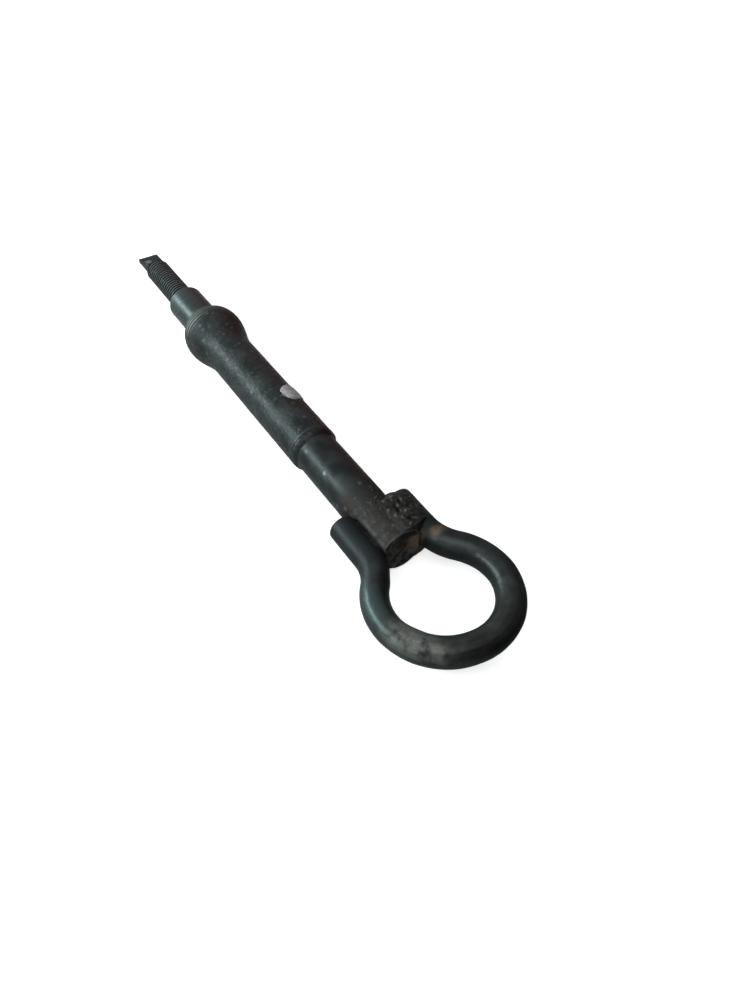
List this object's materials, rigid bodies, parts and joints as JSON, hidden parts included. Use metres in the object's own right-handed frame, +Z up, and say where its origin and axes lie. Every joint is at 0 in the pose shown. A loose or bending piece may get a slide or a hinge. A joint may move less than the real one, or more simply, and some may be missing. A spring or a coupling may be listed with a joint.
{
  "type": "screw-in towing eye bolt",
  "caption": "Screw-in towing eye: a bent round-bar eye welded to a long spindle with a bulbous locating sleeve, a plain pilot and a metric threaded end.",
  "frame": {"origin": "on the spindle's axis at its square-cut rear end face, inside the eye", "axes": "+X along the spindle towards the threaded tip, +Y to the eye's left leg, +Z up, square to the plane of the eye"},
  "size_m": [0.2872, 0.0578, 0.0276],
  "materials": {
    "spindle_steel": "turned steel, black phosphate, oily and lightly worn",
    "sleeve_steel": "turned steel, black phosphate, speckled with weld spatter and small pits",
    "eye_steel": "hot-bent round bar, black phosphate, rubbed grey on the outside of the loop",
    "weld_metal": "lumpy weld bead, dark with spatter and traces of rust"
  },
  "bodies": {
    "root": {"threaded_spindle": "spindle_steel", "bulb_sleeve": "sleeve_steel", "sleeve_weld": "weld_metal", "eye_bar": "eye_steel", "weld_left_top": "weld_metal", "weld_right_top": "weld_metal", "weld_left_bottom": "weld_metal", "weld_right_bottom": "weld_metal"}
  },
  "joints": []
}
